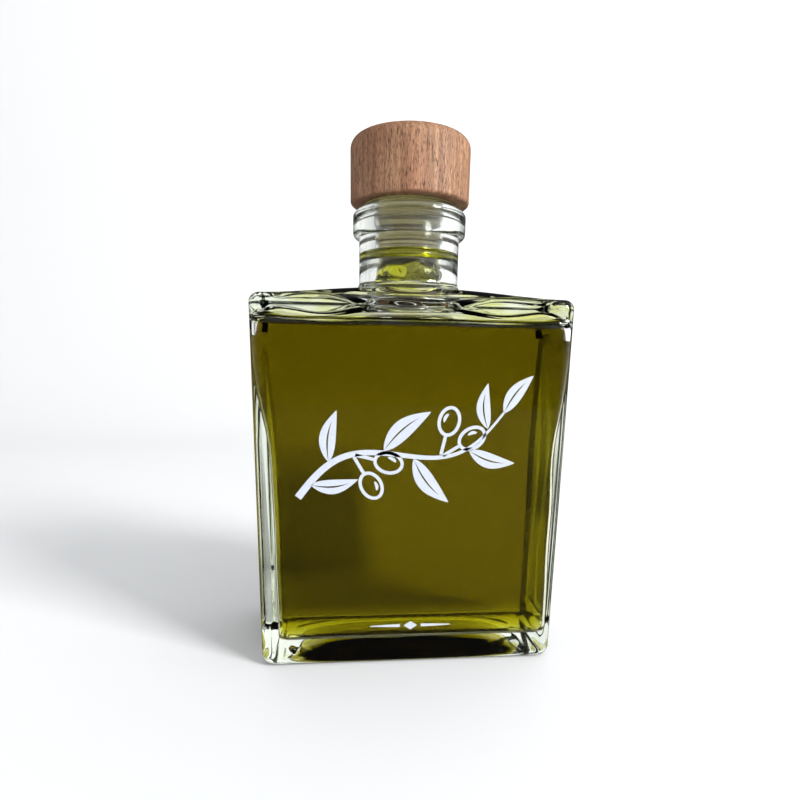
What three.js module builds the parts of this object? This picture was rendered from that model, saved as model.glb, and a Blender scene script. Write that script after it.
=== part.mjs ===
// A flat rectangular clear glass bottle of olive oil, shut by a wooden-headed stopper.
// Millimetres, +Z up. The origin is the centre of the base, the broad front faces -Y.

import * as THREE from 'three';

// Driving dimensions of the glass body
const BODY_WIDTH = 85;
const BODY_DEPTH = 45;
const BODY_HEIGHT = 102.5;
const BODY_CORNER = 4;
const BASE_EDGE_ROUND = 3;
const SHOULDER_EDGE_ROUND = 2.5;
const SHOULDER_RISE = 2.6;

// Glass thicknesses: the wall is thinnest under the shoulder and swells below it
const SHOULDER_WALL = 1.3;
const WALL_SWELL = 2.5;
const SWELL_TOP = 92;
const SWELL_FULL = 55;
const BASE_THICKNESS = 7.2;

// Rounded edges of the hollow inside
const CAVITY_CORNER = 2.8;
const FLOOR_ROUND = 2;
const CEILING_EDGE_HEIGHT = 100.3;
const CEILING_ROUND_WIDTH = 6.5;
const CEILING_RISE = 1;

// Arched hollow under the base, inside the flat face that the bottle stands on
const PUNT_WIDTH = 72;
const PUNT_LENGTH = 35;
const PUNT_DEPTH = 4.6;

// Neck, lip and bore
const NECK_RADIUS = 14.1;
const NECK_FLARE = 2.5;
const LIP_RADIUS = 15.8;
const LIP_BOTTOM = 119.2;
const LIP_TOP = 126.6;
const BORE_RADIUS = 9.6;
const BORE_EDGE_ROUND = 0.8;
const BORE_WIDE_RADIUS = 10.9;
const BORE_TIGHT_END = 115;
const BORE_WIDE_START = 109.5;
const BORE_FLARE = 2.5;

// Oil and stopper
const OIL_LEVEL = 94.7;
const CLEARANCE = 0.3;
const PLUG_RADIUS = 8.9;
const PLUG_END = 107;
const PLUG_END_ROUND = 2.4;
const PLUG_RIBS = 4;
const PLUG_RIB_PITCH = 2.9;
const PLUG_RIB_PROUD = 0.35;
const PLUG_RIB_HALF_HEIGHT = 0.6;
const PLUG_LOWEST_RIB = 115.4;
const FLANGE_RADIUS = 13;
const FLANGE_THICKNESS = 1;
const HEAD_RADIUS = 16.5;
const HEAD_TOP = 145.2;
const HEAD_BOTTOM_ROUND = 0.8;
const HEAD_TOP_ROUND = 2.8;
const HEAD_CROWN = 0.3;

// Fineness of the curved surfaces
const CORNER_STEPS = 8;
const ROUND_STEPS = 4;
const SLOPE_STEPS = 4;
const SWELL_STEPS = 6;
const PUNT_STEPS = 6;
const LATHE_STEPS = 40;

const OUTER_OUTLINE = {
  halfWidth: BODY_WIDTH / 2,
  halfDepth: BODY_DEPTH / 2,
  corner: BODY_CORNER,
};

const CAVITY_OUTLINE = {
  halfWidth: BODY_WIDTH / 2 - SHOULDER_WALL,
  halfDepth: BODY_DEPTH / 2 - SHOULDER_WALL,
  corner: CAVITY_CORNER,
};

// Fractions from 0 to 1 in the given number of equal steps, both ends included
const fractions = (steps) => Array.from({ length: steps + 1 }, (_, step) => step / steps);

// Points of a quarter round from angle 0 to 90 degrees, as sine and cosine pairs
const quarterTurn = () => fractions(ROUND_STEPS).map((part) => ({
  sine: Math.sin((part * Math.PI) / 2),
  cosine: Math.cos((part * Math.PI) / 2),
}));

// One level of a loft: a rounded rectangle, a circle, or a blend of the two
function level(outline, inset, radius, blend, z) {
  const points = [];
  const corner = Math.max(outline.corner - inset, 0.4 * outline.corner);
  const reach = {
    x: outline.halfWidth - inset - corner,
    y: outline.halfDepth - inset - corner,
  };
  const signs = [[1, 1], [-1, 1], [-1, -1], [1, -1]];
  signs.forEach(([signX, signY], quadrant) => {
    for (let step = 0; step <= CORNER_STEPS; step += 1) {
      const square = ((quadrant + step / CORNER_STEPS) * Math.PI) / 2;
      const round = ((quadrant + (step + 0.5) / (CORNER_STEPS + 1)) * Math.PI) / 2;
      const x = signX * reach.x + corner * Math.cos(square);
      const y = signY * reach.y + corner * Math.sin(square);
      points.push(new THREE.Vector3(
        x + (radius * Math.cos(round) - x) * blend,
        y + (radius * Math.sin(round) - y) * blend,
        z,
      ));
    }
  });
  return points;
}

const rectangle = (outline, inset, z) => level(outline, inset, 0, 0, z);
const circle = (radius, z) => level(OUTER_OUTLINE, 0, radius, 1, z);

// A squarish level of the hollow under the base, at a share of its outline
const puntLevel = (share) => circle(1, 0).map((point) => {
  const x = share * Math.sign(point.x) * Math.sqrt(Math.abs(point.x));
  const y = share * Math.sign(point.y) * Math.sqrt(Math.abs(point.y));
  const ridge = 1 - x ** 4;
  return new THREE.Vector3(
    (x * PUNT_WIDTH) / 2,
    (y * PUNT_LENGTH) / 2,
    PUNT_DEPTH * Math.max(ridge - y ** 2 * Math.sqrt(ridge), 0),
  );
});

// Closed surface through the levels, with a point on the axis at each end
function loft(levels, startZ, endZ) {
  const size = levels[0].length;
  const positions = [0, 0, startZ];
  levels.forEach((points) => points.forEach((point) => positions.push(point.x, point.y, point.z)));
  positions.push(0, 0, endZ);
  const last = positions.length / 3 - 1;
  const at = (row, column) => 1 + row * size + (column % size);
  const faces = [];
  for (let column = 0; column < size; column += 1) {
    faces.push(0, at(0, column + 1), at(0, column));
    for (let row = 0; row + 1 < levels.length; row += 1) {
      const [a, b] = [at(row, column), at(row, column + 1)];
      const [c, d] = [at(row + 1, column + 1), at(row + 1, column)];
      faces.push(a, b, c, a, c, d);
    }
    faces.push(at(levels.length - 1, column), at(levels.length - 1, column + 1), last);
  }
  const geometry = new THREE.BufferGeometry();
  geometry.setAttribute('position', new THREE.Float32BufferAttribute(positions, 3));
  geometry.setIndex(faces);
  geometry.computeVertexNormals();
  return geometry;
}

// Underside: the hollow from its middle out, then the flat face and its rounded edge
function baseLevels() {
  const hollow = fractions(PUNT_STEPS).slice(1).map(puntLevel);
  const edge = quarterTurn().map(({ sine, cosine }) => rectangle(
    OUTER_OUTLINE,
    BASE_EDGE_ROUND * (1 - sine),
    BASE_EDGE_ROUND * (1 - cosine),
  ));
  return [...hollow, ...edge];
}

// Top edge of the body, then the shoulder rising gently to the foot of the neck
function shoulderLevels() {
  const edge = quarterTurn().map(({ sine, cosine }) => rectangle(
    OUTER_OUTLINE,
    SHOULDER_EDGE_ROUND * (1 - cosine),
    BODY_HEIGHT - SHOULDER_EDGE_ROUND * (1 - sine),
  ));
  const slope = fractions(SLOPE_STEPS).slice(1).map((part) => level(
    OUTER_OUTLINE,
    SHOULDER_EDGE_ROUND,
    NECK_RADIUS + NECK_FLARE,
    part,
    BODY_HEIGHT + SHOULDER_RISE * part,
  ));
  return [...edge, ...slope];
}

// Neck with its flare at the foot, and the rounded lip ring
function neckLevels() {
  const foot = BODY_HEIGHT + SHOULDER_RISE;
  const lipRound = LIP_RADIUS - NECK_RADIUS;
  const flare = quarterTurn().slice(1).map(({ sine, cosine }) => circle(
    NECK_RADIUS + NECK_FLARE * (1 - sine),
    foot + NECK_FLARE * (1 - cosine),
  ));
  const lipBelow = quarterTurn().map(({ sine, cosine }) => circle(
    NECK_RADIUS + lipRound * sine,
    LIP_BOTTOM + lipRound * (1 - cosine),
  ));
  const lipAbove = quarterTurn().map(({ sine, cosine }) => circle(
    NECK_RADIUS + lipRound * cosine,
    LIP_TOP - lipRound * (1 - sine),
  ));
  return [...flare, ...lipBelow, ...lipAbove];
}

// Bore from the lip down: a tight stretch for the stopper, then a wider one
function boreLevels() {
  const ceiling = CEILING_EDGE_HEIGHT + CEILING_RISE;
  const mouth = quarterTurn().map(({ sine, cosine }) => circle(
    BORE_RADIUS + BORE_EDGE_ROUND * (1 - sine),
    LIP_TOP - BORE_EDGE_ROUND * (1 - cosine),
  ));
  const flare = quarterTurn().map(({ sine, cosine }) => circle(
    BORE_WIDE_RADIUS + BORE_FLARE * (1 - cosine),
    ceiling + BORE_FLARE * (1 - sine),
  ));
  return [
    ...mouth,
    circle(BORE_RADIUS, BORE_TIGHT_END),
    circle(BORE_WIDE_RADIUS, BORE_WIDE_START),
    ...flare,
  ];
}

// Ceiling of the hollow, from the bore out to its rounded edge, which starts at the oil
function ceilingLevels() {
  const slope = fractions(SLOPE_STEPS).slice(1, -1).map((part) => level(
    CAVITY_OUTLINE,
    CEILING_ROUND_WIDTH,
    BORE_WIDE_RADIUS + BORE_FLARE,
    1 - part,
    CEILING_EDGE_HEIGHT + CEILING_RISE * (1 - part),
  ));
  const edge = quarterTurn().map(({ sine, cosine }) => rectangle(
    CAVITY_OUTLINE,
    CEILING_ROUND_WIDTH * (1 - sine),
    OIL_LEVEL + (CEILING_EDGE_HEIGHT - OIL_LEVEL) * cosine,
  ));
  return [...slope, ...edge];
}

// Walls of the hollow from the full swell up, shrunk by the given gap
function wallLevels(gap) {
  return fractions(SWELL_STEPS).map((part) => rectangle(
    CAVITY_OUTLINE,
    gap + (WALL_SWELL * (1 + Math.cos(part * Math.PI))) / 2,
    SWELL_FULL + (SWELL_TOP - SWELL_FULL) * part,
  ));
}

// Foot of the hollow from its middle out, shrunk by the given gap
function floorLevels(gap) {
  const floor = BASE_THICKNESS + gap;
  const middle = rectangle(CAVITY_OUTLINE, CAVITY_OUTLINE.halfDepth / 2, floor);
  const edge = quarterTurn().map(({ sine, cosine }) => rectangle(
    CAVITY_OUTLINE,
    gap + WALL_SWELL + FLOOR_ROUND * (1 - sine),
    floor + FLOOR_ROUND * (1 - cosine),
  ));
  return [middle, ...edge];
}

function bottleGeometry() {
  const levels = [
    ...baseLevels(),
    ...shoulderLevels(),
    ...neckLevels(),
    ...boreLevels(),
    ...ceilingLevels(),
    ...wallLevels(0).reverse(),
    ...floorLevels(0).reverse(),
  ];
  return loft(levels, PUNT_DEPTH, BASE_THICKNESS);
}

// The oil fills the hollow up to its level
function oilGeometry() {
  const surface = [CLEARANCE, CAVITY_OUTLINE.halfDepth / 2];
  const levels = [
    ...floorLevels(CLEARANCE),
    ...wallLevels(CLEARANCE),
    ...surface.map((inset) => rectangle(CAVITY_OUTLINE, inset, OIL_LEVEL)),
  ];
  return loft(levels, BASE_THICKNESS + CLEARANCE, OIL_LEVEL);
}

// Turned solid from a profile of radius and height pairs that starts and ends on the axis
function turned(profile) {
  const points = profile.map(([radius, z]) => new THREE.Vector2(radius, z));
  return new THREE.LatheGeometry(points, LATHE_STEPS).rotateX(Math.PI / 2);
}

// Half-round ribs that grip the bore, from the lowest up
function ribProfile() {
  const profile = [];
  for (let rib = 0; rib < PLUG_RIBS; rib += 1) {
    const middle = PLUG_LOWEST_RIB + rib * PLUG_RIB_PITCH;
    fractions(ROUND_STEPS).forEach((part) => profile.push([
      PLUG_RADIUS + PLUG_RIB_PROUD * Math.sin(part * Math.PI),
      middle - PLUG_RIB_HALF_HEIGHT * Math.cos(part * Math.PI),
    ]));
  }
  return profile;
}

function plugGeometry() {
  const flangeBottom = LIP_TOP + CLEARANCE;
  const flangeTop = flangeBottom + FLANGE_THICKNESS;
  const end = quarterTurn().map(({ sine, cosine }) => [
    PLUG_RADIUS - PLUG_END_ROUND * (1 - sine),
    PLUG_END + PLUG_END_ROUND * (1 - cosine),
  ]);
  return turned([
    [0, PLUG_END],
    ...end,
    ...ribProfile(),
    [PLUG_RADIUS, flangeBottom],
    [FLANGE_RADIUS, flangeBottom],
    [FLANGE_RADIUS, flangeTop],
    [0, flangeTop],
  ]);
}

function headGeometry() {
  const bottom = LIP_TOP + FLANGE_THICKNESS + 2 * CLEARANCE;
  const edgeTop = HEAD_TOP - HEAD_CROWN;
  const below = quarterTurn().map(({ sine, cosine }) => [
    HEAD_RADIUS - HEAD_BOTTOM_ROUND * (1 - sine),
    bottom + HEAD_BOTTOM_ROUND * (1 - cosine),
  ]);
  const above = quarterTurn().map(({ sine, cosine }) => [
    HEAD_RADIUS - HEAD_TOP_ROUND * (1 - cosine),
    edgeTop - HEAD_TOP_ROUND * (1 - sine),
  ]);
  return turned([[0, bottom], ...below, ...above, [0, HEAD_TOP]]);
}

const glass = () => new THREE.MeshStandardMaterial({
  color: 0xdfe6dc,
  roughness: 0.03,
  metalness: 0,
  transparent: true,
  opacity: 0.4,
});

const oliveOil = () => new THREE.MeshStandardMaterial({
  color: 0x6b6200,
  roughness: 0.05,
  metalness: 0,
});

const clearPlastic = () => new THREE.MeshStandardMaterial({
  color: 0xc9ccb8,
  roughness: 0.25,
  metalness: 0,
});

const beechWood = () => new THREE.MeshStandardMaterial({
  color: 0xb98a6d,
  roughness: 0.7,
  metalness: 0,
});

function named(name, geometry, material) {
  const mesh = new THREE.Mesh(geometry, material);
  mesh.name = name;
  return mesh;
}

const stopper = new THREE.Group();
stopper.add(named('stopper_plug', plugGeometry(), clearPlastic()));
stopper.add(named('stopper_head', headGeometry(), beechWood()));

const bottle = new THREE.Group();
bottle.add(named('glass_bottle', bottleGeometry(), glass()));
bottle.add(named('olive_oil', oilGeometry(), oliveOil()));
bottle.add(stopper);

export default bottle;
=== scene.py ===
import math
import bpy
from mathutils import Matrix, Vector, noise


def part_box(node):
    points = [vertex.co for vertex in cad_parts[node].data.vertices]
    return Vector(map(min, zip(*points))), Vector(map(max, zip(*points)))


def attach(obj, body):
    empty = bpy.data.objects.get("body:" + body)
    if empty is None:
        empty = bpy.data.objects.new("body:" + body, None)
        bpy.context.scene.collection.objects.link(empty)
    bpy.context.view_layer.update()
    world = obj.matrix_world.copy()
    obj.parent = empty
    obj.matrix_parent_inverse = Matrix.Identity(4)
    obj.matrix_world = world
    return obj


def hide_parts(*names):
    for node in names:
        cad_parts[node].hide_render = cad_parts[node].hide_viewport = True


# The looks of a flat glass bottle of olive oil with a wooden-headed stopper.
# Lengths are in millimetres, and are turned into metres where a mesh is made.

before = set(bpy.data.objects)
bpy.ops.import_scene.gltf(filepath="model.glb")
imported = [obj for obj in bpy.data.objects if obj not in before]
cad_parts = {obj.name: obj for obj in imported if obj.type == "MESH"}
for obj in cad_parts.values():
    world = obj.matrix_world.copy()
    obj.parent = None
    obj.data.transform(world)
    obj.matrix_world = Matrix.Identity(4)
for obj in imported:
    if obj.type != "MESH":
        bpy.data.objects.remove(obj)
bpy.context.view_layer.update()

MM = 0.001


def millimetres(node):
    """Lowest and highest corner of a CAD node, in millimetres."""
    low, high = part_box(node)
    return Vector(low) / MM, Vector(high) / MM


# Sizes taken from the frame
GLASS_HIGH = millimetres("glass_bottle")[1]
OIL_LOW, OIL_HIGH = millimetres("olive_oil")
PLUG_LOW, PLUG_HIGH = millimetres("stopper_plug")
HEAD_LOW, HEAD_HIGH = millimetres("stopper_head")
CLEARANCE = 0.3

# Smallest corner of a shrunk outline, as a share of the full one
LEAST_CORNER = 0.4

# Outside of the glass
PRINT_PROUD = 0.05
BODY = {
    "half_width": GLASS_HIGH.x,
    "half_depth": GLASS_HIGH.y - PRINT_PROUD,
    "corner": 4.0,
}
BODY_HEIGHT = 102.5
BASE_EDGE_ROUND = 3.0
SHOULDER_EDGE_ROUND = 2.5
SHOULDER_RISE = 2.6
PUNT_HALF_WIDTH = 36.0
PUNT_HALF_LENGTH = 17.5
PUNT_DEPTH = 4.6
PUNT_RIPPLE = 0.1
PUNT_RIPPLE_LENGTH = 12.0
PUNT_RIPPLE_WIDTH = 1.7
PUNT_RIPPLE_SEED = 4
KNURL_BAND = (3.4, 5.5)
KNURL_DEPTH = 0.3
NECK_RADIUS = 14.1
NECK_FLARE = 2.5
LIP_RADIUS = 15.8
LIP_BOTTOM = 119.2
LIP_TOP = GLASS_HIGH.z

# Hollow of the glass
CAVITY = {
    "half_width": OIL_HIGH.x + CLEARANCE,
    "half_depth": OIL_HIGH.y + CLEARANCE,
    "corner": 2.8,
}
WALL_SWELL = 2.5
SWELL_TOP = 92.0
SWELL_FULL = 55.0
LEAN_TOP = 84.0
WALL_LEAN = 1.3
WALL_WAVE = 0.3
WALL_WAVE_LENGTH = 19.0
WALL_WAVE_PLACE = Vector((3, 0, 0))
WALL_WAVE_ON_SIDES = 0.5
FLOOR_HEIGHT = OIL_LOW.z - CLEARANCE
FLOOR_ROUND = 2.0
CEILING_EDGE_HEIGHT = 100.3
CEILING_ROUND_WIDTH = 6.5
CEILING_RISE = 1.0
CEILING_SAG = 2.0
CEILING_SAG_PLACE = 24.0
CEILING_SAG_WIDTH = 9.0
CEILING_RIPPLE = 0.5
CEILING_RIPPLE_LENGTH = 11.0
CEILING_RIPPLE_PLACE = Vector((5, 0, 0))
CEILING_CORNER_GROWTH = 3.0
BORE_RADIUS = 9.6
BORE_EDGE_ROUND = 0.8
BORE_WIDE_RADIUS = 10.9
BORE_TIGHT_END = 115.0
BORE_WIDE_START = 109.5
BORE_FLARE = 2.5

# Oil
OIL_LEVEL = OIL_HIGH.z
OIL_REACH = 0.25

# Half width, half depth, foot and top of the boxes in which the glass is wetted by the oil,
# tinted above its level by an oil film inside and a painted reflection of the oil's light outside,
# and soft round the lip
WET_MARGIN = 0.5
WET_TOP = OIL_LEVEL + 0.4
OUTER_MARGIN = 1.0
SOFT_LIP_FOOT = 111.0
WET_BOX = (
    CAVITY["half_width"] + WET_MARGIN,
    CAVITY["half_depth"] + WET_MARGIN,
    FLOOR_HEIGHT - WET_MARGIN,
    WET_TOP,
)
FILM_AND_PAINTED_REFLECTION_BOX = (
    BODY["half_width"] + OUTER_MARGIN,
    BODY["half_depth"] + OUTER_MARGIN,
    WET_TOP,
    BODY_HEIGHT + SHOULDER_RISE + OUTER_MARGIN,
)
LIP_BOX = (
    LIP_RADIUS + OUTER_MARGIN,
    LIP_RADIUS + OUTER_MARGIN,
    SOFT_LIP_FOOT,
    LIP_TOP + OUTER_MARGIN,
)

# The oil's surface, with the rise at the walls
SURFACE_EDGE = 9.0
MENISCUS_HEIGHT = 2.2
MENISCUS_LENGTH = 1.6
MENISCUS_CLIMB = 0.7

# Stopper
PLUG_RADIUS = 8.9
PLUG_RIBS = 4
PLUG_RIB_PITCH = 2.9
PLUG_RIB_HALF_HEIGHT = 0.6
PLUG_LOWEST_RIB = 115.4
RIB_PRESS = 0.05
PLUG_SINK = 0.5
PLUG_GAP = 0.02
PLUG_FILLET = 0.2
FLANGE_EDGE = 0.25
WET_END_TOP = 113.4
WET_END_RADIUS = 9.3
WET_END_ROUND = 2.8
WET_END_HANG = 0.3
WET_END_TAPER = 0.5
WET_END_MARGIN = 0.1
WET_END_SWELL = 1.6
WET_END_SHRINK = 0.2
WET_END_WAVE = 3.4
WET_END_WAVE_PLACE = Vector((7, 0, 0))
OIL_RING_DROP = 1.6
OIL_RING_CLIMB = 0.9
OIL_RING_SPREAD = 0.55
OIL_RING_WAIST = 0.2
OIL_RING_PRESS = 0.15
OIL_RING_HOLLOW = 0.9
OIL_RING_FOOT = 0.3
OIL_RING_LIFT = 0.5
HEAD_RADIUS = HEAD_HIGH.x
HEAD_BOTTOM_ROUND = 0.8
HEAD_TOP_ROUND = 2.8
HEAD_CROWN = 0.3

# Fineness of the meshes
CORNER_STEPS = 12
WIDE_SIDE_STEPS = 20
NARROW_SIDE_STEPS = 10
ROUND_STEPS = 10
SLOPE_STEPS = 12
WALL_STEPS = 22
OUTER_WALL_STEPS = 12
PUNT_STEPS = 36
BORE_STEPS = 8
FLOOR_STEPS = 6
MENISCUS_STEPS = 16
SURFACE_STEPS = 5
RIB_STEPS = 10
WET_END_STEPS = 8
CROWN_STEPS = 8
TURN_STEPS = 96

# How far towards the middle the innermost ring of a flat level reaches
FLAT_REACH = 0.98


def fractions(steps):
    return [step / steps for step in range(steps + 1)]


def quarter_turn(steps=ROUND_STEPS):
    """Sine and cosine along a quarter round."""
    angles = [part * math.pi / 2 for part in fractions(steps)]
    return [(math.sin(angle), math.cos(angle)) for angle in angles]


def smooth(part):
    return part * part * (3 - 2 * part)


# Lofted solids

def quadrant_points(outline, inset):
    """A quarter of a rounded rectangle, from the +X axis to the +Y axis."""
    corner = max(outline["corner"] - inset, LEAST_CORNER * outline["corner"])
    reach_x = outline["half_width"] - inset - corner
    reach_y = outline["half_depth"] - inset - corner
    points = []
    for step in range(NARROW_SIDE_STEPS):
        points.append((reach_x + corner, reach_y * (step + 0.5) / NARROW_SIDE_STEPS))
    for sine, cosine in quarter_turn(CORNER_STEPS):
        points.append((reach_x + corner * cosine, reach_y + corner * sine))
    for step in reversed(range(WIDE_SIDE_STEPS)):
        points.append((reach_x * (step + 0.5) / WIDE_SIDE_STEPS, reach_y + corner))
    return points


def level(outline, inset, radius, blend, z):
    """One level of a loft: a rounded rectangle, a circle, or a blend of the two."""
    quarter = quadrant_points(outline, inset)
    count = len(quarter)
    points = []
    for quadrant in range(4):
        mirrored = quadrant % 2 == 1
        for step in range(count):
            index = count - 1 - step if mirrored else step
            sign_x = -1 if quadrant in (1, 2) else 1
            sign_y = -1 if quadrant in (2, 3) else 1
            x = sign_x * quarter[index][0]
            y = sign_y * quarter[index][1]
            angle = (quadrant + (step + 0.5) / count) * math.pi / 2
            x += (radius * math.cos(angle) - x) * blend
            y += (radius * math.sin(angle) - y) * blend
            points.append(Vector((x, y, z)))
    return points


def rectangle(outline, inset, z):
    return level(outline, inset, 0, 0, z)


def circle(radius, z):
    return level(BODY, 0, radius, 1, z)


def loft(name, levels, start_z, end_z):
    """Closed mesh through the levels, with a point on the axis at each end."""
    size = len(levels[0])
    points = [Vector((0, 0, start_z))]
    for ring in levels:
        points.extend(ring)
    points.append(Vector((0, 0, end_z)))
    last = len(points) - 1
    faces = []
    for column in range(size):
        after = (column + 1) % size
        faces.append((0, 1 + after, 1 + column))
        for row in range(len(levels) - 1):
            below = 1 + row * size
            above = below + size
            faces.append((below + column, below + after, above + after, above + column))
        top = 1 + (len(levels) - 1) * size
        faces.append((top + column, top + after, last))
    return solid(name, points, faces)


def turned(name, profile):
    """Closed mesh turned from radius and height pairs that start and end on the axis."""
    levels = []
    for radius, z in profile[1:-1]:
        ring = []
        for step in range(TURN_STEPS):
            angle = 2 * math.pi * step / TURN_STEPS
            ring.append(Vector((radius * math.cos(angle), radius * math.sin(angle), z)))
        levels.append(ring)
    return loft(name, levels, profile[0][1], profile[-1][1])


def solid(name, points, faces):
    """Smooth-shaded object, from points in millimetres."""
    mesh = bpy.data.meshes.new(name)
    mesh.from_pydata([point * MM for point in points], [], faces)
    mesh.update()
    mesh.polygons.foreach_set("use_smooth", [True] * len(mesh.polygons))
    piece = bpy.data.objects.new(name, mesh)
    bpy.context.scene.collection.objects.link(piece)
    return piece


def keep_flats_flat(piece):
    """Shades each rounded edge smooth without bending the flat faces beside it."""
    flats = piece.modifiers.new("flat faces", "WEIGHTED_NORMAL")
    flats.mode = "FACE_AREA"
    flats.weight = 100
    flats.keep_sharp = True


# The glass body

def knurled(ring):
    """Lifts every second point of a level, as grooves across the face the bottle stands on."""
    return [point + Vector((0, 0, KNURL_DEPTH * (index % 2))) for index, point in enumerate(ring)]


def punt_level(share):
    """A level of the arched hollow under the base, at a share of its squarish outline."""
    ring = []
    for point in circle(1.0, 0):
        x = share * math.copysign(math.sqrt(abs(point.x)), point.x)
        y = share * math.copysign(math.sqrt(abs(point.y)), point.y)
        ridge = max(1 - x ** 4, 0.0)
        height = PUNT_DEPTH * max(ridge - y * y * math.sqrt(ridge), 0.0)
        place = Vector((PUNT_HALF_WIDTH * x, PUNT_HALF_LENGTH * y, height))
        ripple = noise.noise(Vector((
            place.x / PUNT_RIPPLE_LENGTH,
            place.y / PUNT_RIPPLE_WIDTH,
            PUNT_RIPPLE_SEED,
        )))
        ring.append(place + Vector((0, 0, PUNT_RIPPLE * (1 - share) * (1 + ripple))))
    return ring


def base_levels():
    hollow = [punt_level(share) for share in fractions(PUNT_STEPS)[1:]]
    outer, inner = KNURL_BAND
    face = [
        rectangle(BODY, inner + KNURL_DEPTH, 0),
        knurled(rectangle(BODY, inner, 0)),
        knurled(rectangle(BODY, outer, 0)),
        rectangle(BODY, outer - KNURL_DEPTH, 0),
    ]
    edge = [
        rectangle(BODY, BASE_EDGE_ROUND * (1 - sine), BASE_EDGE_ROUND * (1 - cosine))
        for sine, cosine in quarter_turn()
    ]
    return hollow + face + edge


def outer_wall_levels():
    foot = BASE_EDGE_ROUND
    head = BODY_HEIGHT - SHOULDER_EDGE_ROUND
    parts = fractions(OUTER_WALL_STEPS)[1:-1]
    return [rectangle(BODY, 0, foot + (head - foot) * part) for part in parts]


def shoulder_levels():
    edge = [
        rectangle(
            BODY,
            SHOULDER_EDGE_ROUND * (1 - cosine),
            BODY_HEIGHT - SHOULDER_EDGE_ROUND * (1 - sine),
        )
        for sine, cosine in quarter_turn()
    ]
    slope = [
        level(
            BODY,
            SHOULDER_EDGE_ROUND,
            NECK_RADIUS + NECK_FLARE,
            part,
            BODY_HEIGHT + SHOULDER_RISE * (part + smooth(part)) / 2,
        )
        for part in fractions(SLOPE_STEPS)[1:]
    ]
    return edge + slope


def neck_levels():
    foot = BODY_HEIGHT + SHOULDER_RISE
    lip_round = LIP_RADIUS - NECK_RADIUS
    flare = [
        circle(NECK_RADIUS + NECK_FLARE * (1 - sine), foot + NECK_FLARE * (1 - cosine))
        for sine, cosine in quarter_turn()[1:]
    ]
    below = [
        circle(NECK_RADIUS + lip_round * sine, LIP_BOTTOM + lip_round * (1 - cosine))
        for sine, cosine in quarter_turn()
    ]
    above = [
        circle(NECK_RADIUS + lip_round * cosine, LIP_TOP - lip_round * (1 - sine))
        for sine, cosine in quarter_turn()
    ]
    return flare + below + above


def bore_levels():
    ceiling = CEILING_EDGE_HEIGHT + CEILING_RISE
    mouth = [
        circle(BORE_RADIUS + BORE_EDGE_ROUND * (1 - sine), LIP_TOP - BORE_EDGE_ROUND * (1 - cosine))
        for sine, cosine in quarter_turn()
    ]
    widening = [
        circle(
            BORE_RADIUS + (BORE_WIDE_RADIUS - BORE_RADIUS) * smooth(part),
            BORE_TIGHT_END + (BORE_WIDE_START - BORE_TIGHT_END) * part,
        )
        for part in fractions(BORE_STEPS)
    ]
    flare = [
        circle(BORE_WIDE_RADIUS + BORE_FLARE * (1 - cosine), ceiling + BORE_FLARE * (1 - sine))
        for sine, cosine in quarter_turn()
    ]
    return mouth + widening + flare


def hollow_ring(inset, z, reach=0.0):
    """A level of the hollow: the walls swell below the shoulder, lean to one side and are wavy."""
    part = min(max((SWELL_TOP - z) / (SWELL_TOP - SWELL_FULL), 0.0), 1.0)
    swell = WALL_SWELL * (1 - math.cos(part * math.pi)) / 2
    depth = min(max((LEAN_TOP - z) / (LEAN_TOP - FLOOR_HEIGHT), 0.0), 1.0)
    lean = WALL_LEAN * math.sin(depth * math.pi / 2)
    fade = math.sin(depth * math.pi)
    ring = []
    for point in rectangle(CAVITY, inset + swell - reach, z):
        wave = WALL_WAVE * fade * noise.noise(point / WALL_WAVE_LENGTH + WALL_WAVE_PLACE)
        flat = Vector((point.x * WALL_WAVE_ON_SIDES, point.y, 0)).normalized()
        ring.append(point + flat * wave + Vector((lean, 0, 0)))
    return ring


def sagged(ring, share):
    """Lowers a level of the ceiling to each side of the neck, unevenly."""
    lowered = []
    for point in ring:
        from_middle = (abs(point.x) - CEILING_SAG_PLACE) / CEILING_SAG_WIDTH
        sag = CEILING_SAG * math.exp(-(from_middle ** 2))
        ripple = CEILING_RIPPLE * noise.noise(point / CEILING_RIPPLE_LENGTH + CEILING_RIPPLE_PLACE)
        lowered.append(point - Vector((0, 0, (sag + ripple) * share)))
    return lowered


def softened(extra):
    """The hollow's outline with its corners rounded by so much more."""
    return {**CAVITY, "corner": CAVITY["corner"] + extra}


def ceiling_levels():
    slope = []
    soft = softened(CEILING_ROUND_WIDTH + CEILING_CORNER_GROWTH)
    for part in fractions(SLOPE_STEPS)[1:-1]:
        height = CEILING_EDGE_HEIGHT + CEILING_RISE * (1 - smooth(part))
        ring = level(soft, CEILING_ROUND_WIDTH, BORE_WIDE_RADIUS + BORE_FLARE, 1 - part, height)
        slope.append(sagged(ring, min(1.0, 2 * part)))
    edge = []
    for sine, cosine in quarter_turn():
        height = OIL_LEVEL + (CEILING_EDGE_HEIGHT - OIL_LEVEL) * cosine
        inset = CEILING_ROUND_WIDTH * (1 - sine)
        ring = rectangle(softened(inset + CEILING_CORNER_GROWTH * cosine), inset, height)
        edge.append(sagged(ring, cosine))
    return slope + edge


def floor_levels(reach):
    """Foot of the hollow from its middle out, grown by the given reach."""
    floor = FLOOR_HEIGHT - reach
    flat = CAVITY["half_depth"] - WALL_SWELL - FLOOR_ROUND
    middle = [
        hollow_ring(FLOOR_ROUND + flat * (1 - part) * FLAT_REACH, floor)
        for part in fractions(FLOOR_STEPS)[1:-1]
    ]
    edge = [
        hollow_ring(FLOOR_ROUND * (1 - sine), floor + FLOOR_ROUND * (1 - cosine), reach)
        for sine, cosine in quarter_turn()
    ]
    return middle + edge


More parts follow.
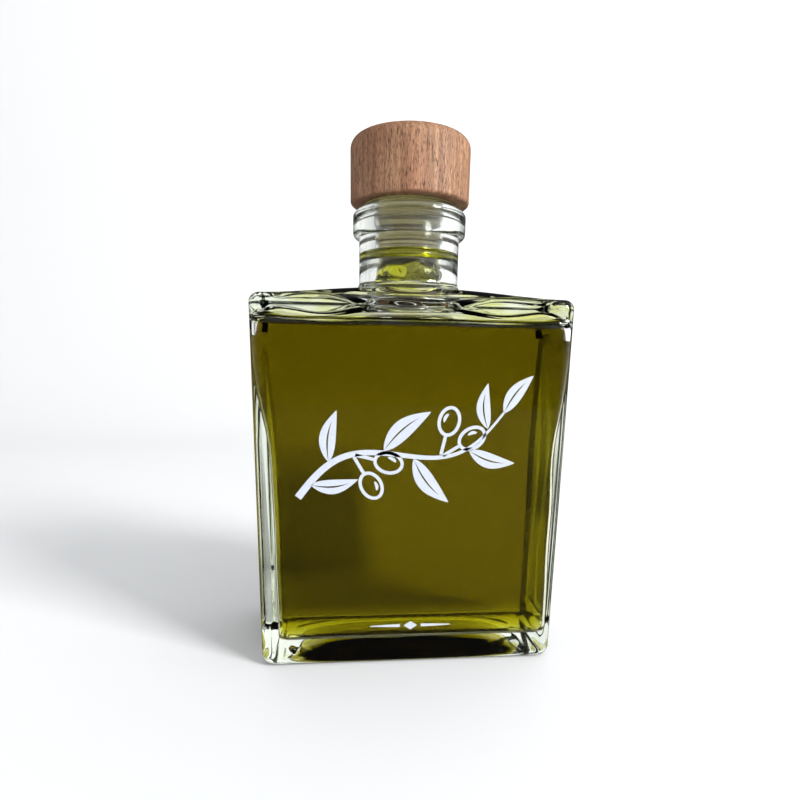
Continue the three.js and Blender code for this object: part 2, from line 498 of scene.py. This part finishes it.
def wall_levels(reach):
    """Walls of the hollow from the floor up to the oil's level, grown by the given reach."""
    foot = FLOOR_HEIGHT - reach + FLOOR_ROUND
    heights = [foot + (OIL_LEVEL - foot) * part for part in fractions(WALL_STEPS)[1:-1]]
    return [hollow_ring(0, z, reach) for z in heights]


def make_glass():
    outside = base_levels() + outer_wall_levels() + shoulder_levels() + neck_levels()
    inside = bore_levels() + ceiling_levels() + wall_levels(0)[::-1] + floor_levels(0)[::-1]
    piece = loft("bottle_glass", outside + inside, PUNT_DEPTH, FLOOR_HEIGHT)
    keep_flats_flat(piece)
    return piece


# The oil

def ceiling_inset(rise):
    """How far the hollow's wall has turned inwards at a height above the oil's level."""
    share = min(rise / (CEILING_EDGE_HEIGHT - OIL_LEVEL), 1.0)
    return CEILING_ROUND_WIDTH * (1 - math.sqrt(1 - share * share))


def surface_ring(distance):
    """A ring of the oil's surface, which climbs at the walls and higher up in the corners."""
    ring = []
    outer = rectangle(CAVITY, distance - OIL_REACH, OIL_LEVEL)
    inner = rectangle(CAVITY, distance - OIL_REACH + 1, OIL_LEVEL)
    for point, inward in zip(outer, inner):
        past_x = max(abs(point.x) - CAVITY["half_width"] + SURFACE_EDGE, 0) / SURFACE_EDGE
        past_y = max(abs(point.y) - CAVITY["half_depth"] + SURFACE_EDGE, 0) / SURFACE_EDGE
        climb = 1 + MENISCUS_CLIMB * smooth(min(past_x, past_y, 1.0))
        rise = MENISCUS_HEIGHT * climb * math.exp(-distance / MENISCUS_LENGTH)
        turned_in = max(ceiling_inset(rise) - distance, 0)
        ring.append(point.lerp(inward, turned_in) + Vector((0, 0, rise)))
    return ring


def make_oil():
    surface = [surface_ring(part * part * SURFACE_EDGE) for part in fractions(MENISCUS_STEPS)]
    for part in fractions(SURFACE_STEPS)[1:]:
        inset = SURFACE_EDGE - OIL_REACH + (CAVITY["half_depth"] - SURFACE_EDGE) * part * FLAT_REACH
        surface.append(rectangle(CAVITY, inset, OIL_LEVEL))
    levels = floor_levels(OIL_REACH) + wall_levels(OIL_REACH) + surface
    piece = loft("oil", levels, FLOOR_HEIGHT - OIL_REACH, OIL_LEVEL)
    keep_flats_flat(piece)
    return piece


# The stopper

def rib_profile():
    profile = []
    for rib in range(PLUG_RIBS):
        middle = PLUG_LOWEST_RIB + rib * PLUG_RIB_PITCH
        for part in fractions(RIB_STEPS):
            profile.append((
                PLUG_RADIUS + (BORE_RADIUS + RIB_PRESS - PLUG_RADIUS) * math.sin(part * math.pi),
                middle - PLUG_RIB_HALF_HEIGHT * math.cos(part * math.pi),
            ))
    return profile


def make_plug():
    flange_bottom = LIP_TOP + PLUG_GAP
    flange_top = HEAD_LOW.z - PLUG_GAP
    rim = PLUG_HIGH.x
    flange = [
        (PLUG_RADIUS, flange_bottom - PLUG_FILLET),
        (PLUG_RADIUS + PLUG_FILLET, flange_bottom),
        (rim - FLANGE_EDGE, flange_bottom),
        (rim, flange_bottom + FLANGE_EDGE),
        (rim, flange_top - FLANGE_EDGE),
        (rim - FLANGE_EDGE, flange_top),
    ]
    low = WET_END_TOP - PLUG_SINK
    profile = [(0, low), (PLUG_RADIUS, low)] + rib_profile() + flange + [(0, flange_top)]
    piece = turned("plug", profile)
    keep_flats_flat(piece)
    return piece


def make_wet_end():
    """Oil that hangs on the plug's rounded end, a little uneven."""
    low = PLUG_LOW.z - WET_END_HANG
    straight = low + WET_END_ROUND
    profile = [(0, low)]
    for sine, cosine in quarter_turn():
        radius = WET_END_RADIUS - WET_END_ROUND * (1 - sine)
        profile.append((radius, low + WET_END_ROUND * (1 - cosine)))
    for part in fractions(WET_END_STEPS)[1:]:
        radius = WET_END_RADIUS - WET_END_TAPER * smooth(part)
        profile.append((radius, straight + (WET_END_TOP - straight) * part))
    profile.append((0, WET_END_TOP))
    piece = turned("oil_on_plug", profile)
    for vertex in piece.data.vertices:
        place = vertex.co / MM
        wave = noise.noise(place / WET_END_WAVE + WET_END_WAVE_PLACE)
        swell = WET_END_SWELL * wave - WET_END_SHRINK
        if place.z < WET_END_TOP - WET_END_MARGIN:
            outward = Vector((place.x, place.y, place.z - WET_END_TOP)).normalized()
            vertex.co += outward * swell * MM
    return piece


def make_oil_ring():
    """Oil held between the plug and the foot of the tight bore."""
    low = BORE_TIGHT_END - OIL_RING_DROP
    high = BORE_TIGHT_END + OIL_RING_CLIMB
    inner = PLUG_RADIUS - OIL_RING_PRESS
    loop = [
        (BORE_RADIUS + OIL_RING_SPREAD, low),
        (BORE_RADIUS + OIL_RING_WAIST, (low + high) / 2),
        (BORE_RADIUS + OIL_RING_PRESS, high),
        (inner, high),
        (inner, low + OIL_RING_HOLLOW),
        (PLUG_RADIUS + OIL_RING_FOOT, low + OIL_RING_LIFT),
    ]
    points = []
    faces = []
    for step in range(TURN_STEPS):
        angle = 2 * math.pi * step / TURN_STEPS
        for radius, z in loop:
            points.append(Vector((radius * math.cos(angle), radius * math.sin(angle), z)))
        after = (step + 1) % TURN_STEPS
        for corner in range(len(loop)):
            following = (corner + 1) % len(loop)
            first = step * len(loop)
            second = after * len(loop)
            faces.append((first + corner, second + corner, second + following, first + following))
    return solid("oil_ring", points, faces)


def make_head():
    edge_top = HEAD_HIGH.z - HEAD_CROWN
    below = []
    above = []
    for sine, cosine in quarter_turn():
        below.append((
            HEAD_RADIUS - HEAD_BOTTOM_ROUND * (1 - sine),
            HEAD_LOW.z + HEAD_BOTTOM_ROUND * (1 - cosine),
        ))
        above.append((
            HEAD_RADIUS - HEAD_TOP_ROUND * (1 - cosine),
            edge_top - HEAD_TOP_ROUND * (1 - sine),
        ))
    crown = []
    for part in fractions(CROWN_STEPS)[1:-1]:
        radius = (HEAD_RADIUS - HEAD_TOP_ROUND) * (1 - part)
        crown.append((radius, edge_top + HEAD_CROWN * smooth(part)))
    profile = [(0, HEAD_LOW.z)] + below + above + crown + [(0, HEAD_HIGH.z)]
    piece = turned("head", profile)
    keep_flats_flat(piece)
    return piece


# The printed sprig

PRINT_FRONT = -GLASS_HIGH.y
PRINT_THICKNESS = 0.08
SPRIG_START = Vector((-31.0, 50.0))
SPRIG_END = Vector((24.0, 73.0))
SPRIG_BOW = 11.0
STEM_WIDTH = 2.0
STEM_NEAR = 0.01
TWIG_COUNT = 8
TWIG_START = 0.06
TWIG_SPACING = 0.12
TWIGS_WITH_OLIVES = (2, 5)
LEAF_ANGLE = 44
OLIVE_ANGLES = (26, 72)
LEAF_LENGTH = 16.5
LEAF_WIDTH = 5.2
LEAF_BEND = 1.2
LEAF_STEPS = 24
LEAF_FULLEST = 0.45
LEAF_SHRINK = 0.6
MIDRIB_END = 0.8
MIDRIB_WIDTH = 0.22
BLADE_LEAST = 0.02
BLADE_LEAN = 0.8
BLADE_FULLNESS = 0.9
STALK_START = 0.4
STALK_STEPS = 6
LEAF_START = 0.5
TIP_LENGTH_SHARE = 0.75
TIP_WIDTH_SHARE = 0.8
TIP_BEND = 0.8
OLIVE_LENGTH = 7.4
OLIVE_WIDTH = 5.4
OLIVE_STALK = 5.0
OLIVE_STEPS = 36
SHINE_STEPS = 10
SHINE_START = 25
SHINE_TURN = 80
SHINE_TIP = 0.1
SHINE_LENGTH_SHARE = 0.55
SHINE_WIDTH_SHARE = 0.5
OUTLINE_WIDTH = 0.9
STEM_STEPS = 60
STEM_TAPER = 0.7
RULE_HEIGHT = 12.0
RULE_PLACES = (3.0, 7.0, 11.5)
RULE_HALF_WIDTHS = (0.45, 0.35, 0.12)
LOZENGE_PLACES = (-1.9, 0.0, 1.9)
LOZENGE_HALF_WIDTHS = (0.05, 1.3, 0.05)


def stem_point(part):
    """A point on the sprig's stem, a long flat S, as x and height."""
    along = SPRIG_START.lerp(SPRIG_END, part)
    across = Vector((-(SPRIG_END - SPRIG_START).y, (SPRIG_END - SPRIG_START).x)).normalized()
    return along + across * SPRIG_BOW / 2 * math.sin(2 * math.pi * part)


def stem_direction(part):
    return (stem_point(part + STEM_NEAR) - stem_point(part - STEM_NEAR)).normalized()


def turned_by(direction, degrees):
    return direction.copy() @ Matrix.Rotation(math.radians(-degrees), 2).transposed()


def band(centres, half_widths):
    """Left and right rail of a stroke along the centres."""
    left, right = [], []
    for index, centre in enumerate(centres):
        before = centres[max(index - 1, 0)]
        after = centres[min(index + 1, len(centres) - 1)]
        along = (after - before).normalized()
        side = Vector((-along.y, along.x)) * half_widths[index]
        left.append(centre + side)
        right.append(centre - side)
    return left, right


def leaf(base, direction, length, width, bend):
    """A lance-shaped leaf with a slit for its midrib, as two half blades."""
    side = Vector((-direction.y, direction.x))
    blades = []
    for sign in (1, -1):
        inner = []
        outer = []
        for part in fractions(LEAF_STEPS):
            middle = base + direction * length * part + side * bend * math.sin(math.pi * part)
            slit = MIDRIB_WIDTH * math.sin(math.pi * min(part / MIDRIB_END, 1.0))
            spread = width / 2 * math.sin(math.pi * part ** BLADE_LEAN) ** BLADE_FULLNESS
            inner.append(middle + side * sign * slit)
            outer.append(middle + side * sign * max(spread, slit + BLADE_LEAST))
        blades.append((outer, inner) if sign > 0 else (inner, outer))
    return blades


def olive(centre, direction):
    """An olive in outline, with one curved stroke for its shine."""
    side = Vector((-direction.y, direction.x))
    ring = []
    shine = []
    for part in fractions(OLIVE_STEPS):
        angle = 2 * math.pi * part
        ring.append(
            centre
            + direction * OLIVE_LENGTH / 2 * math.cos(angle)
            + side * OLIVE_WIDTH / 2 * math.sin(angle)
        )
    taper = []
    for part in fractions(SHINE_STEPS):
        angle = math.radians(SHINE_START + SHINE_TURN * part)
        shine.append(
            centre
            + direction * OLIVE_LENGTH / 2 * SHINE_LENGTH_SHARE * math.cos(angle)
            + side * OLIVE_WIDTH / 2 * SHINE_WIDTH_SHARE * math.sin(angle)
        )
        along = SHINE_TIP + (1 - 2 * SHINE_TIP) * part
        taper.append(OUTLINE_WIDTH / 2 * math.sin(math.pi * along))
    return [band(ring, [OUTLINE_WIDTH / 2] * len(ring)), band(shine, taper)]


def sprig_strokes():
    """The stem, then leaves or a pair of olives on alternate sides of it, and a leaf at its tip."""
    strokes = []
    stem = [stem_point(part) for part in fractions(STEM_STEPS)]
    half_widths = [STEM_WIDTH / 2 * (1 - STEM_TAPER * part) for part in fractions(STEM_STEPS)]
    strokes.append(band(stem, half_widths))
    for number in range(TWIG_COUNT):
        part = TWIG_START + TWIG_SPACING * number
        foot = stem_point(part)
        sign = 1 if number % 2 == 0 else -1
        if number in TWIGS_WITH_OLIVES:
            for angle in OLIVE_ANGLES:
                direction = turned_by(stem_direction(part), sign * angle)
                start = foot + direction * STEM_WIDTH * STALK_START
                stalk = [start + direction * OLIVE_STALK * step for step in fractions(STALK_STEPS)]
                strokes.append(band(stalk, [OUTLINE_WIDTH / 2] * len(stalk)))
                centre = stalk[-1] + direction * (OLIVE_LENGTH + OUTLINE_WIDTH) / 2
                strokes += olive(centre, direction)
            continue
        size = 1.0 - LEAF_SHRINK * abs(part - LEAF_FULLEST)
        direction = turned_by(stem_direction(part), sign * LEAF_ANGLE)
        start = foot + direction * STEM_WIDTH * LEAF_START
        strokes += leaf(start, direction, LEAF_LENGTH * size, LEAF_WIDTH * size, -sign * LEAF_BEND)
    length = LEAF_LENGTH * TIP_LENGTH_SHARE
    width = LEAF_WIDTH * TIP_WIDTH_SHARE
    strokes += leaf(stem_point(1.0), stem_direction(1 - STEM_NEAR), length, width, TIP_BEND)
    return strokes


def rule_strokes():
    """Two short rules with a lozenge between them, low on the front."""
    strokes = []
    for sign in (-1, 1):
        ends = [Vector((sign * place, RULE_HEIGHT)) for place in RULE_PLACES]
        strokes.append(band(ends, RULE_HALF_WIDTHS))
    tips = [Vector((place, RULE_HEIGHT)) for place in LOZENGE_PLACES]
    strokes.append(band(tips, LOZENGE_HALF_WIDTHS))
    return strokes


def make_print():
    """Every stroke as a thin flat plate on the broad front."""
    points = []
    faces = []
    for left, right in sprig_strokes() + rule_strokes():
        count = len(left)
        start = len(points)
        for y in (PRINT_FRONT, PRINT_FRONT + PRINT_THICKNESS):
            for rail in (left, right):
                points += [Vector((point.x, y, point.y)) for point in rail]
        front_left, front_right, back_left, back_right = (start + count * rail for rail in range(4))
        around = (front_left, front_right, back_right, back_left)
        for step in range(count - 1):
            for rail, following in zip(around, around[1:] + around[:1]):
                faces.append((rail + step, following + step, following + step + 1, rail + step + 1))
        faces.append(around[::-1])
        faces.append(tuple(rail + count - 1 for rail in around))
    piece = solid("printed_sprig", points, faces)
    piece.data.polygons.foreach_set("use_smooth", [False] * len(piece.data.polygons))
    return piece


# Materials

GLASS_TINT = (0.985, 0.99, 0.975)
FILM_AND_PAINTED_REFLECTION_TINT = (0.72, 0.72, 0.26)
GLASS_IOR = 1.52
OIL_IOR = 1.47
PLASTIC_IOR = 1.5
WOOD_LIGHT = (0.53, 0.288, 0.158)
WOOD_DARK = (0.31, 0.150, 0.072)
WOOD_ROSY = (0.37, 0.143, 0.072)
WOOD_FLECK = (0.085, 0.034, 0.017)


def span(tree, value, low, high, to_low, to_high):
    """Turns a value between low and high into one between to_low and to_high, kept inside."""
    node = tree.nodes.new("ShaderNodeMapRange")
    node.inputs["From Min"].default_value = low
    node.inputs["From Max"].default_value = high
    node.inputs["To Min"].default_value = to_low
    node.inputs["To Max"].default_value = to_high
    tree.links.new(value, node.inputs["Value"])
    return node.outputs["Result"]


class Nodes:
    """Short calls for building a material's nodes."""

    def __init__(self, name):
        self.material = bpy.data.materials.new(name)
        self.material.use_nodes = True
        self.tree = self.material.node_tree
        self.shader = self.tree.nodes["Principled BSDF"]
        self.output = self.tree.nodes["Material Output"]

    def add(self, kind, **settings):
        node = self.tree.nodes.new(kind)
        for key, value in settings.items():
            setattr(node, key, value)
        return node

    def link(self, source, target):
        self.tree.links.new(source, target)

    def coordinates(self, scale=(1, 1, 1)):
        """Object coordinates in millimetres, scaled."""
        place = self.add("ShaderNodeTexCoord")
        mapping = self.add("ShaderNodeMapping")
        mapping.inputs["Scale"].default_value = [value / MM for value in scale]
        self.link(place.outputs["Object"], mapping.inputs["Vector"])
        return mapping.outputs["Vector"]

    def noise(self, vector, scale=1.0, detail=2.0, roughness=0.5):
        node = self.add("ShaderNodeTexNoise")
        node.inputs["Scale"].default_value = scale
        node.inputs["Detail"].default_value = detail
        node.inputs["Roughness"].default_value = roughness
        self.link(vector, node.inputs["Vector"])
        return node.outputs["Fac"]

    def span(self, value, low, high, to_low=0.0, to_high=1.0):
        return span(self.tree, value, low, high, to_low, to_high)

    def mix(self, factor, first, second):
        """A blend of two colours; the node's colour sockets share names, so they go by number."""
        node = self.add("ShaderNodeMix", data_type="RGBA")
        for socket, value in ((0, factor), (6, first), (7, second)):
            if isinstance(value, (tuple, list)):
                node.inputs[socket].default_value = (*value, 1)
            elif isinstance(value, (int, float)):
                node.inputs[socket].default_value = value
            else:
                self.link(value, node.inputs[socket])
        return node.outputs[2]

    def calculate(self, operation, first, second):
        node = self.add("ShaderNodeMath", operation=operation)
        self.link(first, node.inputs[0])
        self.link(second, node.inputs[1])
        return node.outputs[0]

    def multiply(self, first, second):
        return self.calculate("MULTIPLY", first, second)

    def sum(self, first, second):
        return self.calculate("ADD", first, second)

    def inside_box(self, half_sizes_and_heights):
        """Factor that is 1 inside a box centred on the axis, worked out from the coordinates."""
        half_width, half_depth, low, high = half_sizes_and_heights
        split = self.add("ShaderNodeSeparateXYZ")
        self.link(self.coordinates(), split.inputs["Vector"])
        limits = (
            ("X", 0.0, half_width),
            ("Y", 0.0, half_depth),
            ("Z", (low + high) / 2, (high - low) / 2),
        )
        factor = None
        for axis, centre, half in limits:
            near = self.add("ShaderNodeMath", operation="COMPARE")
            near.inputs[1].default_value = centre
            near.inputs[2].default_value = half
            self.link(split.outputs[axis], near.inputs[0])
            if factor is None:
                factor = near.outputs[0]
                continue
            factor = self.multiply(factor, near.outputs[0])
        return factor

    def bump(self, height, strength, distance):
        node = self.add("ShaderNodeBump")
        node.inputs["Strength"].default_value = strength
        node.inputs["Distance"].default_value = distance * MM
        self.link(height, node.inputs["Height"])
        self.link(node.outputs["Normal"], self.shader.inputs["Normal"])

    def set(self, **values):
        for key, value in values.items():
            self.shader.inputs[key.replace("_", " ")].default_value = value

    def absorb(self, colour, density):
        volume = self.add("ShaderNodeVolumeAbsorption")
        volume.inputs["Color"].default_value = (*colour, 1)
        volume.inputs["Density"].default_value = density
        self.link(volume.outputs["Volume"], self.output.inputs["Volume"])


def glass_material():
    """Clear; tinted above the oil's level by an oil film inside and a painted reflection of the
    oil's light on the outer shoulder; a little worn, and soft round the lip.
    """
    nodes = Nodes("clear_glass")
    nodes.set(IOR=GLASS_IOR, Transmission_Weight=1.0)
    # Olive tint above the oil: an oil film on the inner wall, and a painted reflection of the oil's
    # light on the outer shoulder
    film = nodes.noise(nodes.coordinates((1.0, 1.0, 3.0)), scale=0.07, detail=3)
    film = nodes.multiply(nodes.span(film, 0.40, 0.58), nodes.inside_box(FILM_AND_PAINTED_REFLECTION_BOX))
    nodes.link(nodes.mix(film, GLASS_TINT, FILM_AND_PAINTED_REFLECTION_TINT), nodes.shader.inputs["Base Color"])
    smudges = nodes.noise(nodes.coordinates(), scale=0.09, detail=4)
    worn = nodes.span(smudges, 0.45, 0.75, 0.0, 0.02)
    lip = nodes.span(nodes.inside_box(LIP_BOX), 0, 1, 0.0, 0.1)
    nodes.link(nodes.sum(worn, lip), nodes.shader.inputs["Roughness"])
    ripple = nodes.noise(nodes.coordinates(), scale=0.05, detail=1)
    nodes.bump(ripple, strength=0.3, distance=0.3)
    # Glass and oil bend light almost alike, so the wetted wall is set to mirror nothing
    wet = nodes.inside_box(WET_BOX)
    nodes.link(nodes.mix(wet, (1, 1, 1), (0, 0, 0)), nodes.shader.inputs["Specular Tint"])
    nodes.absorb((0.86, 0.92, 0.78), 16)
    return nodes.material


def oil_material():
    """The body of the oil, clear at its surface and dark through its depth."""
    nodes = Nodes("olive_oil")
    nodes.set(Base_Color=(1, 1, 1, 1), Roughness=0.0, IOR=OIL_IOR, Transmission_Weight=1.0)
    nodes.set(Specular_Tint=(0, 0, 0, 1))
    nodes.absorb((0.848, 0.828, 0.0), 365)
    return nodes.material


def film_material():
    """Thin films and drops of the same oil, which catch more light."""
    nodes = Nodes("oil_film")
    nodes.set(Base_Color=(1, 1, 1, 1), Roughness=0.0, IOR=OIL_IOR, Transmission_Weight=1.0)
    nodes.absorb((0.983, 0.983, 0.0), 3000)
    return nodes.material


def plastic_material():
    """Cloudy plastic, uneven in its haze, darkened through its depth by a brownish tint that is
    painted shade for the wooden head's dark underside mirrored in it.
    """
    nodes = Nodes("clear_plastic")
    nodes.set(Base_Color=(0.93, 0.94, 0.88, 1), IOR=PLASTIC_IOR, Transmission_Weight=1.0)
    haze = nodes.noise(nodes.coordinates(), scale=0.5, detail=3)
    nodes.link(nodes.span(haze, 0.3, 0.7, 0.08, 0.2), nodes.shader.inputs["Roughness"])
    # Painted shade: the brownish absorption darkens the plug for the head's dark underside that it
    # mirrors
    nodes.absorb((0.66, 0.62, 0.42), 190)
    return nodes.material


def wood_material():
    """Beech: upright grain in three widths, with short dark flecks and fine pores."""
    nodes = Nodes("beech_wood")
    fine = nodes.noise(nodes.coordinates((2.4, 2.4, 0.10)), detail=3, roughness=0.7)
    medium = nodes.noise(nodes.coordinates((0.7, 0.7, 0.035)), detail=3)
    broad = nodes.noise(nodes.coordinates((0.13, 0.13, 0.025)), detail=1)
    flecks = nodes.noise(nodes.coordinates((3.4, 3.4, 0.42)), detail=2)
    pores = nodes.noise(nodes.coordinates((5.0, 5.0, 0.8)), detail=1)
    tone = nodes.mix(nodes.span(medium, 0.35, 0.65), WOOD_DARK, WOOD_LIGHT)
    tone = nodes.mix(nodes.span(broad, 0.45, 0.62, 0, 0.55), tone, WOOD_ROSY)
    tone = nodes.mix(nodes.span(fine, 0.38, 0.60, 0.35, 0), tone, WOOD_FLECK)
    tone = nodes.mix(nodes.span(pores, 0.54, 0.64, 0, 0.6), tone, WOOD_FLECK)
    dark = nodes.span(flecks, 0.585, 0.66)
    tone = nodes.mix(nodes.span(dark, 0, 1, 0, 0.85), tone, WOOD_FLECK)
    nodes.link(tone, nodes.shader.inputs["Base Color"])
    nodes.link(nodes.span(fine, 0.3, 0.7, 0.55, 0.7), nodes.shader.inputs["Roughness"])
    nodes.bump(nodes.span(dark, 0, 1, 1, 0), strength=0.5, distance=0.05)
    return nodes.material


def enamel_material():
    """Satin white enamel with a faint grain."""
    nodes = Nodes("white_enamel")
    grain = nodes.noise(nodes.coordinates(), scale=1.5, detail=3)
    tone = nodes.mix(nodes.span(grain, 0.35, 0.65), (0.56, 0.60, 0.68), (0.62, 0.66, 0.74))
    nodes.link(tone, nodes.shader.inputs["Base Color"])
    nodes.link(nodes.span(grain, 0.3, 0.7, 0.4, 0.55), nodes.shader.inputs["Roughness"])
    return nodes.material


def reflected(tree):
    """Factor that is 1 for what an outer surface mirrors, and 0 for what is seen or seen through."""
    path = tree.nodes.new("ShaderNodeLightPath")
    outside = tree.nodes.new("ShaderNodeMath")
    outside.operation = "SUBTRACT"
    outside.use_clamp = True
    outside.inputs[0].default_value = 1
    mirrored = tree.nodes.new("ShaderNodeMath")
    mirrored.operation = "MULTIPLY"
    mirrored.use_clamp = True
    tree.links.new(path.outputs["Transmission Depth"], outside.inputs[1])
    tree.links.new(path.outputs["Glossy Depth"], mirrored.inputs[0])
    tree.links.new(outside.outputs[0], mirrored.inputs[1])
    return mirrored.outputs[0]


def seen_through(tree):
    """Factor that is 1 for what is seen through the glass."""
    path = tree.nodes.new("ShaderNodeLightPath")
    limit = tree.nodes.new("ShaderNodeMath")
    limit.operation = "MINIMUM"
    limit.inputs[1].default_value = 1
    tree.links.new(path.outputs["Transmission Depth"], limit.inputs[0])
    return limit.outputs[0]


# A dim patch of floor, seen only through the glass, darkens the oil's lower left as in the photo
# The patch is painted shadow, standing in for the bottle's shadow on the floor behind it
FLOOR_TINT = (0.82, 0.82, 0.82)
FLOOR_TINT_PAINTED_SHADOW = (0.34, 0.34, 0.34)
FLOOR_TINT_MIRRORED_PAINTED_SHADE = (0.04, 0.04, 0.04)
DIM_SIDE = (-14, -2)
DIM_NEAR = (50, 75)
DIM_FAR = (220, 420)


def backdrop_material():
    """Pale, with a painted shadow on the floor behind the bottle's left half, seen only through the
    oil, and painted nearly black where the glass mirrors it.
    """
    nodes = Nodes("pale_backdrop")
    split = nodes.add("ShaderNodeSeparateXYZ")
    nodes.link(nodes.coordinates(), split.inputs["Vector"])
    left = nodes.span(split.outputs["X"], *DIM_SIDE, 1, 0)
    near = nodes.span(split.outputs["Y"], *DIM_NEAR)
    far = nodes.span(split.outputs["Y"], *DIM_FAR, 1, 0)
    painted_shadow = nodes.multiply(nodes.multiply(left, near), nodes.multiply(far, seen_through(nodes.tree)))
    pale = nodes.mix(painted_shadow, FLOOR_TINT, FLOOR_TINT_PAINTED_SHADOW)
    # Painted shade: the floor that the glass mirrors is nearly black, as if dark flags shaded it
    tone = nodes.mix(reflected(nodes.tree), pale, FLOOR_TINT_MIRRORED_PAINTED_SHADE)
    nodes.link(tone, nodes.shader.inputs["Base Color"])
    nodes.set(Roughness=0.9)
    return nodes.material


def dress(piece, material, slot, *nodes):
    piece.data.materials.append(material)
    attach(piece, "root")
    if nodes:
        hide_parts(*nodes)


# Camera, floor and light

CAMERA_PLACE = Vector((-18.93, -172.98, 87.78))
CAMERA_YAW = 0.103
CAMERA_PITCH = -0.2217
CAMERA_ROLL = 0.0173
FRAME_PIXELS = 800
FOCAL_PIXELS = 573.3
CENTRE_PIXEL = (401.1, 483.7)
SENSOR = 36.0
SKY_TINT = (0.94, 0.97, 1.0, 1)
SKY_LEFT = 0.2
SKY_RIGHT = 1.3
SKY_MIRRORED_FRONT = 0.02
SKY_MIRRORED_BEHIND = 0.9
SKY_MIRRORED_ENDS = (-0.6, 0.8)
BACKDROP_DROP = 0.05
SWEEP_STEPS = 16
LIGHT_AIM = (0, 0, 70)
WINDOW_PLACE = (1200, -900, 900)
WINDOW_SIZE = (500, 700)
WINDOW_POWER = 31
FILL_PLACE = (-1300, -500, 700)
FILL_SIZE = (800, 800)
FILL_POWER = 1


def make_camera():
    forward = Vector((
        math.sin(CAMERA_YAW) * math.cos(CAMERA_PITCH),
        math.cos(CAMERA_YAW) * math.cos(CAMERA_PITCH),
        math.sin(CAMERA_PITCH),
    ))
    level_right = Vector((math.cos(CAMERA_YAW), -math.sin(CAMERA_YAW), 0))
    level_up = level_right.cross(forward)
    right = math.cos(CAMERA_ROLL) * level_right + math.sin(CAMERA_ROLL) * level_up
    up = right.cross(forward)
    data = bpy.data.cameras.new("camera")
    data.sensor_fit = "HORIZONTAL"
    data.sensor_width = SENSOR
    data.lens = SENSOR * FOCAL_PIXELS / FRAME_PIXELS
    data.shift_x = 0.5 - CENTRE_PIXEL[0] / FRAME_PIXELS
    data.shift_y = CENTRE_PIXEL[1] / FRAME_PIXELS - 0.5
    data.clip_start = 0.01
    camera = bpy.data.objects.new("camera", data)
    turn = Matrix((right, up, -forward)).transposed()
    camera.matrix_world = Matrix.Translation(CAMERA_PLACE * MM) @ turn.to_4x4()
    bpy.context.scene.collection.objects.link(camera)
    bpy.context.scene.camera = camera


def make_backdrop():
    """A pale floor that sweeps up into a wall behind."""
    near = -900.0
    wall = 700.0
    sweep = 300.0
    side = 1400.0
    height = 1500.0
    outline = [(near, 0.0), (wall - sweep, 0.0)]
    for sine, cosine in quarter_turn(SWEEP_STEPS)[1:]:
        outline.append((wall - sweep + sweep * sine, sweep * (1 - cosine)))
    outline.append((wall, height))
    points = []
    for y, z in outline:
        points += [Vector((end, y, z - BACKDROP_DROP)) for end in (-side, side)]
    faces = [(row, row + 1, row + 3, row + 2) for row in range(0, len(points) - 2, 2)]
    backdrop = solid("backdrop", points, faces)
    backdrop.data.materials.append(backdrop_material())


def area_light(name, place, target, size, power):
    data = bpy.data.lights.new(name, "AREA")
    data.shape = "RECTANGLE"
    data.size = size[0] * MM
    data.size_y = size[1] * MM
    data.energy = power
    light = bpy.data.objects.new(name, data)
    light.location = Vector(place) * MM
    aim = Vector(target) - Vector(place)
    light.rotation_euler = aim.to_track_quat("-Z", "Y").to_euler()
    bpy.context.scene.collection.objects.link(light)


def studio_world():
    """Pale light, brighter on the right; reflections see it dark in front and bright behind."""
    world = bpy.data.worlds.new("studio")
    world.use_nodes = True
    tree = world.node_tree
    place = tree.nodes.new("ShaderNodeTexCoord")
    split = tree.nodes.new("ShaderNodeSeparateXYZ")
    tree.links.new(place.outputs["Generated"], split.inputs["Vector"])
    seen = span(tree, split.outputs["X"], -1, 1, SKY_LEFT, SKY_RIGHT)
    behind = split.outputs["Y"]
    mirrored = span(tree, behind, *SKY_MIRRORED_ENDS, SKY_MIRRORED_FRONT, SKY_MIRRORED_BEHIND)
    blend = tree.nodes.new("ShaderNodeMix")
    tree.links.new(reflected(tree), blend.inputs["Factor"])
    tree.links.new(seen, blend.inputs["A"])
    tree.links.new(mirrored, blend.inputs["B"])
    background = tree.nodes["Background"]
    background.inputs["Color"].default_value = SKY_TINT
    tree.links.new(blend.outputs["Result"], background.inputs["Strength"])
    bpy.context.scene.world = world


def make_light():
    bpy.context.scene.view_settings.view_transform = "Standard"
    studio_world()
    area_light("window", WINDOW_PLACE, LIGHT_AIM, WINDOW_SIZE, WINDOW_POWER)
    area_light("fill", FILL_PLACE, LIGHT_AIM, FILL_SIZE, FILL_POWER)


make_camera()
make_backdrop()
make_light()
dress(make_glass(), glass_material(), "clear_glass", "glass_bottle")
film = film_material()
dress(make_oil(), oil_material(), "olive_oil", "olive_oil")
dress(make_wet_end(), film, "olive_oil")
dress(make_oil_ring(), film, "olive_oil")
dress(make_print(), enamel_material(), "white_enamel")
dress(make_plug(), plastic_material(), "clear_plastic", "stopper_plug")
dress(make_head(), wood_material(), "beech_wood", "stopper_head")
